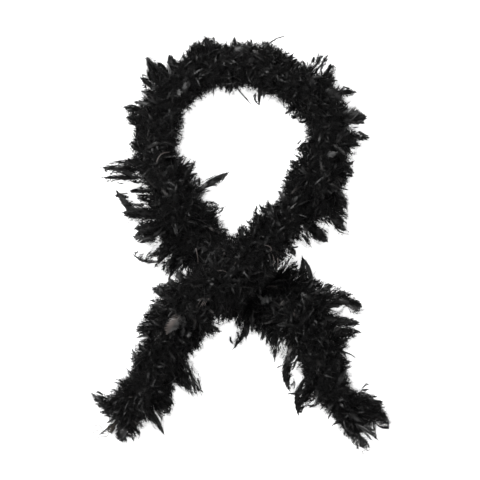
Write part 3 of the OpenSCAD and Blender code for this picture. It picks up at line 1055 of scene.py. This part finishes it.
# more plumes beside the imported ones, in mm: station, tip x, tip y, tip z, width, and bow to the left if any
sprays = [
    # right wing, above the right tail
    (1490, 88, -34, 30, 12), (1500, 104, -40, 30, 14), (1510, 124, -46, 30, 16), (1518, 148, -58, 32, 16),
    (1526, 172, -68, 34, 18, 4), (1534, 192, -80, 36, 18, 6), (1542, 208, -92, 32, 16, 10),
    (1575, 206, -134, 34, 9, 8), (1592, 208, -160, 30, 13), (1600, 200, -170, 30, 12),
    # left side, under the loop
    (1296, -158, -18, 30, 15, 4), (1304, -148, -32, 30, 15), (1310, -130, -42, 28, 14),
    (1318, -116, -34, 30, 14), (1272, -188, 20, 30, 16), (1276, -178, 12, 30, 16), (1250, -206, 62, 36, 14),
    (1160, -208, 150, 36, 15),
    # left shoulder and crown
    (1080, -204, 247, 34, 13), (1092, -205, 232, 38, 13), (1020, -158, 331, 30, 13),
    (1030, -164, 313, 30, 13), (940, -84, 366, 34, 15), (952, -92, 357, 34, 14), (848, 52, 368, 34, 14),
    (840, 62, 361, 34, 13), (860, 24, 364, 36, 14), (900, -8, 281, 30, 11), (908, -16, 275, 28, 9),
    # right shoulder and side
    (752, 170, 318, 30, 12), (736, 204, 281, 34, 11, 6), (676, 230, 190, 24, 11, -6),
    (668, 214, 184, 28, 15), (640, 195, 113, 34, 10), (624, 191, 104, 34, 9), (578, 195, 66, 34, 16),
    (566, 195, 52, 30, 17), (556, 194, 40, 26, 16), (580, 86, 147, 36, 11), (570, 80, 134, 30, 10),
    (650, 104, 171, 34, 10), (752, 82, 245, 26, 9, 6),
    # inside the loop
    (1226, -80, 147, 30, 12), (1234, -76, 131, 30, 12), (1240, -70, 113, 34, 13), (1246, -60, 100, 30, 13),
    (1272, -36, 75, 36, 11), (1284, -40, 63, 34, 13), (1296, -38, 51, 30, 12), (440, 10, 48, 50, 9),
    (452, 20, 52, 56, 8),
    # between the tails
    (352, -24, -131, 30, 14), (340, -38, -139, 30, 14), (366, -8, -128, 36, 12), (1418, 2, -158, 20, 9, 4),
    (1424, -4, -150, 22, 9, 8), (1486, 30, -148, 24, 13), (1496, 44, -162, 24, 13),
    (1506, 57, -184, 20, 13), (1546, 84, -180, 30, 13), (1556, 92, -192, 34, 13),
    (1694, 108, -285, 18, 9, -8),
    # left tail
    (234, -70, -180, 30, 16), (262, -46, -157, 30, 13), (256, -62, -160, 30, 14), (176, -92, -250, 26, 13),
    (184, -84, -261, 24, 13), (168, -104, -246, 26, 12), (100, -126, -299, 28, 12),
    (90, -136, -309, 24, 12), (30, -236, -317, 14, 11), (24, -231, -333, 10, 11), (30, -192, -340, 16, 14),
    (38, -184, -333, 18, 12), (44, -257, -270, 14, 13, 14), (40, -246, -281, 16, 12, 8),
    (88, -222, -239, 30, 12), (222, -184, -140, 34, 11), (230, -176, -130, 34, 12),
    (212, -180, -158, 30, 13), (264, -152, -78, 34, 14, 4),
    # right tail end
    (1726, 252, -291, 30, 17), (1736, 261, -306, 26, 15, 10), (1744, 263, -321, 22, 13, 20),
    (1770, 240, -350, 20, 13, 6), (1776, 232, -358, 18, 12), (1782, 226, -366, 12, 11),
    # between the left side and the left tail
    (276, -128, -56, 34, 16), (284, -116, -46, 34, 14), (1322, -128, -58, 24, 14),
    (1326, -116, -62, 22, 12), (1312, -142, -44, 26, 13), (1316, -134, -54, 24, 12),
    (266, -150, -70, 36, 14), (270, -140, -66, 36, 14),
    # outer edge of the left tail
    (92, -208, -240, 30, 14), (84, -216, -246, 26, 13), (112, -196, -214, 30, 14),
    (126, -194, -196, 30, 14), (104, -198, -226, 30, 13), (214, -186, -146, 26, 13),
    (232, -172, -126, 30, 13), (244, -164, -108, 32, 13), (252, -156, -96, 32, 12),
    (46, -264, -268, 14, 12, 14), (40, -258, -284, 12, 12, 8), (22, -238, -330, 10, 13),
    (18, -232, -340, 8, 12), (28, -240, -318, 12, 13), (16, -216, -352, 8, 13), (24, -202, -355, 8, 18),
    (30, -189, -353, 9, 18), (32, -184, -346, 12, 12),
    # inner edge of the left tail
    (214, -84, -196, 24, 13), (206, -90, -204, 24, 12), (222, -78, -186, 26, 12), (258, -44, -164, 26, 12),
    (250, -56, -166, 26, 12), (170, -110, -250, 26, 14), (174, -104, -256, 22, 13),
    (186, -90, -268, 20, 13), (196, -74, -272, 16, 11), (120, -118, -286, 24, 13),
    (132, -120, -270, 26, 14), (110, -122, -296, 24, 13), (96, -124, -306, 20, 12),
    # below the crossing
    (370, -20, -140, 30, 14), (362, -30, -142, 30, 13), (376, -8, -136, 30, 13), (384, -30, -136, 34, 16),
    (378, -18, -138, 34, 16), (392, -8, -134, 34, 15), (1420, -15, -188, 8, 6, 60),
    (1440, 14, -150, 24, 12), (1450, 24, -160, 22, 10), (1462, 34, -164, 22, 11),
    (1504, 56, -196, 14, 12, 6), (1500, 50, -176, 18, 11), (1544, 82, -184, 24, 14),
    (1552, 86, -200, 24, 14), (1600, 92, -264, 16, 13, -56), (1596, 86, -238, 18, 12, -40),
    (1650, 106, -306, 12, 9, -37),
    # the loop's lower corner
    (1258, -66, 84, 34, 13), (1264, -56, 80, 34, 13), (1292, -34, 46, 30, 12), (1286, -40, 56, 30, 12),
    (1318, -18, 24, 26, 12), (1330, -10, 18, 26, 12), (430, -8, 20, 40, 12), (440, 4, 30, 50, 12),
    (446, 12, 36, 52, 12), (456, 22, 56, 52, 10),
    # inner edge of the loop
    (600, 96, 166, 36, 12), (592, 92, 152, 36, 11), (584, 84, 136, 30, 10), (576, 76, 124, 28, 8),
    (896, -6, 276, 30, 13), (886, 6, 280, 30, 13), (906, -24, 276, 30, 13), (828, 58, 268, 30, 12),
    (820, 66, 270, 30, 12), (812, 74, 264, 30, 12), (790, 84, 252, 26, 10), (730, 98, 228, 34, 11),
    (1010, -84, 252, 32, 13), (1084, -104, 214, 36, 12), (1100, -106, 196, 36, 12),
    (1236, -68, 122, 34, 13),
    # outer edge of the loop
    (1024, -164, 334, 26, 14), (1034, -170, 318, 26, 13), (1258, -224, 102, 16, 11, 48),
    (1240, -184, 84, 30, 14), (1234, -180, 92, 30, 13), (1030, -171, 339, 20, 14, -10),
    (934, -78, 362, 38, 14), (960, -98, 352, 30, 13), (968, -106, 344, 30, 12), (846, 50, 368, 34, 12),
    (838, 58, 366, 40, 12), (552, 196, 30, 18, 11, -6),
    # right wing
    (1466, 84, -12, 30, 16), (1474, 96, -16, 30, 16), (1482, 104, -26, 30, 16), (1490, 112, -36, 30, 16),
    (1460, 74, -20, 30, 14), (1526, 112, -15, 12, 9, -22), (1512, 136, -54, 32, 16),
    (1520, 150, -62, 34, 16), (1530, 166, -70, 34, 16), (1540, 206, -86, 36, 16, 14),
    (1570, 216, -138, 30, 5, 20), (1588, 218, -152, 20, 6, 8),
    # end of the right tail
    (1730, 262, -290, 26, 14, 6), (1738, 267, -308, 24, 13, 14), (1746, 268, -322, 18, 13, 24),
    (1702, 267, -326, 22, 13, 56), (1706, 262, -312, 24, 13, 48), (1710, 256, -304, 26, 13, 40),
    (1716, 245, -348, 20, 12, 49), (1760, 248, -340, 24, 14, 4), (1764, 242, -330, 30, 14),
    (1772, 216, -352, 20, 14), (1780, 222, -364, 14, 13), (1776, 208, -344, 22, 13),
    (1785, 230, -368, 10, 11), (1768, 199, -344, 20, 16), (1774, 205, -358, 14, 16),
    (1780, 213, -368, 10, 15),
]
# packed blades that take another path: tip x, tip y, and where the curve is drawn to, in mm
otherPaths = [
    (220, -112, 204, -82), (268, -330, 272, -280), (92, -266, 128, -270), (106, -308, 100, -262),
    (-222, 102, -186, 24), (-198, -10, -142, -64), (-16, -190, 42, -128), (-166, 340, -158, 300),
]


def bendBlades(blades):
    made = []
    for root, control, tip, width in blades:
        for x, y, drawnX, drawnY in otherPaths:
            if math.hypot(tip[0] - x / 1000, tip[1] - y / 1000) < plumeLook["same tip"]:
                control = np.array([drawnX / 1000, drawnY / 1000, control[2]])
        made.append((root, control, tip, width))
    return made


def sprayBlades(link):
    blades = []
    for station, x, y, z, width, *bend in sprays:
        s, bow = station / 1000, sum(bend)
        if linkAt(s) != link:
            continue
        root, tip = coreLine(np.array(s)), np.array([x, y, z]) / 1000
        flat = unit((tip - root) * np.array([1, 1, 0]))
        lift = np.array([-flat[1] * bow, flat[0] * bow, plumeLook["drawn up"]]) / 1000
        blades.append((root, (root + tip) / 2 + lift, tip, width / 1000))
    return blades


# single feathers on top of the down: middle, mm, direction, degrees, length and width, mm, tone; the tone is
# mostly the feather's own colour, but it is painted sheen on the pale vanes of the right wing (x 120 to 198
# mm, y -88 to -130 mm), on the curl at (32, 344) and on the vanes at (205, 228) and (91, -187)
topFeathers = [
    (-116, -139, 236, 48, 28, 0.95), (-100, -146, 262, 34, 16, 0.12), (-157, 178, 25, 34, 10, 0.74),
    (-100, 276, 80, 46, 17, 0.50), (-123, 227, 95, 50, 11, 0.45), (0, 352, 10, 42, 18, 0.30),
    (32, 344, 140, 22, 8, 0.78), (165, 274, -35, 52, 26, 0.48), (127, 299, -60, 44, 17, 0.40),
    (205, 228, 12, 50, 22, 0.78), (-53, 33, -35, 30, 8, 0.86), (176, -218, 85, 34, 11, 0.68),
    (182, -238, 60, 48, 12, 0.45), (91, -187, 250, 26, 11, 0.86), (-9, -32, 60, 11, 4, 0.92),
    (64, -70, 25, 46, 14, 0.35), (150, -105, -8, 50, 14, 0.66), (178, -96, -20, 46, 18, 0.62),
    (120, -88, -30, 44, 16, 0.56), (198, -106, -30, 40, 14, 0.68), (160, -130, -15, 44, 13, 0.58),
    (-170, 12, 165, 46, 22, 0.40), (-205, -330, 250, 36, 16, 0.60), (200, -300, -40, 50, 14, 0.42),
    (-172, 255, 170, 40, 12, 0.50),
]
# bare quills that show between the feathers: two ends and a bow (mm)
bareQuills = [
    ((-66, -91), (-77, -110), 0), ((-62, -91), (-72, -111), 1), ((-58, -92), (-67, -108), 0),
    ((-54, -93), (-62, -106), -1), ((-78, -4), (-74, -32), 1), ((44, 2), (52, -16), 9),
    ((60, -36), (54, -8), -4), ((68, -22), (67, -44), 1), ((-40, -44), (-22, -47), 2),
    ((-148, 150), (-124, 168), 6),
]
# a vane paler than this lies higher, one darker than the other is torn; the root is sunk in the down, m
vaneLook = {"pale from": 0.7, "pale over": 0.006, "dark over": 0.001, "torn below": 0.2, "sunk": 0.010}
quillLook = {"radius": 0.0009, "taper": 0.5, "sides": 6, "over the down": 0.010, "tone": 0.97}


def nearestStation(x, y):
    # station of the strand that lies uppermost under a place
    stations = np.linspace(0.01, totalLength - 0.01, 700)
    away = np.linalg.norm(planPoint(stations) - np.array([x, y]), axis=1)
    close = stations[away < max(away.min() + 0.02, 0.03)]
    off = np.linalg.norm(planPoint(close) - np.array([x, y]), axis=1)
    return close[int(np.argmax(baseHeight(close) - 0.3 * off))]


def topHeight(s, x, y):
    # height of the down over a place beside station s
    aside = min(np.linalg.norm(planPoint(s) - np.array([x, y])) / boa["rounded half"], 0.98)
    return coreLine(s)[2] + downHeight(s) * (1 - boa["cord share"]) * math.sqrt(1 - aside ** 2)


def linkAt(s):
    return boa["links"][int(np.clip(np.searchsorted(ends, s) - 1, 0, len(boa["links"]) - 1))]


def placeTopFeathers():
    rng = np.random.default_rng(77)
    placed = {}
    for x, y, direction, length, width, tone in topFeathers:
        x, y, length, width = x / 1000, y / 1000, length / 1000, width / 1000
        ahead = np.array([math.cos(math.radians(direction)), math.sin(math.radians(direction))])
        s = nearestStation(x, y)
        tail, nose = np.array([x, y]) - ahead * length / 2, np.array([x, y]) + ahead * length / 2
        over = vaneLook["pale over" if tone > vaneLook["pale from"] else "dark over"]
        root = np.array([[*tail, topHeight(s, *tail) - vaneLook["sunk"]]])
        tip = np.array([[*nose, topHeight(s, *nose) + over]])
        middle = np.array([[x, y, topHeight(s, x, y) + over]])
        control = 2 * middle - (root + tip) / 2
        shape = plumeModels["torn" if tone < vaneLook["torn below"] else "pointed"][int(rng.integers(3))]
        side = np.array([[-ahead[1], ahead[0], 0]])
        points = bendCopies(shape[0], root, control, tip, side, np.array([width / 2]), rng.normal(0, 0.2, 1),
                            rng.normal(0, 0.3, 1), rng.uniform(0.1, 0.5, 1))
        # painted shade: each vane is darkened towards one side and towards its root, as if shaded by its own
        # curl and by the dark down its root lies in; the other side stays pale
        shade = smooth((shape[0][:, 0] + 0.25) / 1.1) + 0.6 * (1 - smooth(shape[0][:, 1] / 0.35))
        tones = tone * (1 - 0.42 * np.clip(shade, 0, 1))[None]
        placed.setdefault(linkAt(s), []).append((settle(points), shape[1], shape[0], tones, 0))
    return placed


def placeQuills():
    placed = {}
    for (x0, y0), (x1, y1), bow in bareQuills:
        t = np.linspace(0, 1, 9)[:, None]
        a, c = np.array([x0, y0]) / 1000, np.array([x1, y1]) / 1000
        normal = unit(np.array([a[1] - c[1], c[0] - a[0]]))
        plan = a + (c - a) * t + normal * bow / 1000 * np.sin(math.pi * t)
        s = nearestStation(*((a + c) / 2))
        line = np.array([[*q, topHeight(s, *q) + quillLook["over the down"]] for q in plan])
        radius = quillLook["radius"] * (1 - quillLook["taper"] * t[:, 0])
        points, faces, shape = sweptTube(line, radius, quillLook["sides"])
        tone = np.array([quillLook["tone"]])
        placed.setdefault(linkAt(s), []).append((settle(points), faces, shape, tone, 1))
    return placed


def makePlumes(number, link):
    rng = np.random.default_rng(500 + number)
    groups = {}
    for blade in bendBlades(splitBlades("plumes_" + link)) + sprayBlades(link):
        kind = chooseKind(rng, blade[2], blade[3])
        groups.setdefault((kind, int(rng.integers(3))), []).append(blade)
    parts = []
    for (kind, version), blades in sorted(groups.items()):
        root, control, tip = (np.array([b[k] for b in blades]) for k in range(3))
        width = np.array([b[3] for b in blades]) / 2 * plumeLook["hair wider" if kind == "hair" else "wider"]
        n = len(blades)
        shape = plumeModels[kind][version]
        flat = unit((tip - root) * np.array([1, 1, 0]))
        side = np.stack([-flat[:, 1], flat[:, 0], np.zeros(n)], -1)
        points = bendCopies(shape[0], root, control, tip, side, width, rng.normal(0, plumeLook["roll"], n),
                            rng.normal(0, plumeLook["twist"], n), rng.uniform(*plumeLook["cup"], n))
        tone = rng.uniform(*plumeLook["tones"], n)
        parts.append((settle(points), shape[1], shape[0], tone, 0))
        for k in range(n):
            if plumeCompany(root[k], tip[k]):
                parts += companions(rng, root[k], control[k], tip[k], width[k])
    parts += leaves.get(link, [])
    parts += quills.get(link, [])
    piece = buildPiece("longPlumes_" + link, parts, [plumeBlack, featherBlack, downBlack])
    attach(piece, link)
    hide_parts("plumes_" + link)


leaves = placeTopFeathers()
quills = placeQuills()
for number, link in enumerate(boa["links"]):
    makePlumes(number, link)
print("long plumes are made")

# core cord of two twisted yarns

cord = {"diameter": 0.004, "flex gap": 0.002, "sides": 8, "turn": 0.012, "ring": 0.0018}


def makeCord(number, link):
    s0 = ends[number] + (0 if number == 0 else cord["flex gap"] / 2)
    s1 = ends[number + 1] - (0 if number == len(boa["links"]) - 1 else cord["flex gap"] / 2)
    s = np.linspace(s0, s1, int((s1 - s0) / cord["ring"]))
    across, up, _ = sectionAxes(s)
    parts = []
    for yarn in (0, math.pi):
        turn = 2 * math.pi * s / cord["turn"] + yarn
        offset = across * np.cos(turn)[:, None] + up * np.sin(turn)[:, None]
        line = coreLine(s) + offset * cord["diameter"] / 4
        points, faces, shape = sweptTube(line, cord["diameter"] / 4, cord["sides"])
        parts.append((points, faces, shape, np.array([0.3]), 0))
    piece = buildPiece("twistedCord_" + link, parts, [cordYarn])
    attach(piece, link)
    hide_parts("cord_" + link)


for number, link in enumerate(boa["links"]):
    makeCord(number, link)
print("cord is made")

# thread: ties, whippings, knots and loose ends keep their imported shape

for name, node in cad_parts.items():
    if name.split("_")[0] in ("ties", "whipping", "knot", "threads"):
        node.data.materials.clear()
        node.data.materials.append(bindingThread)
print("thread is finished")
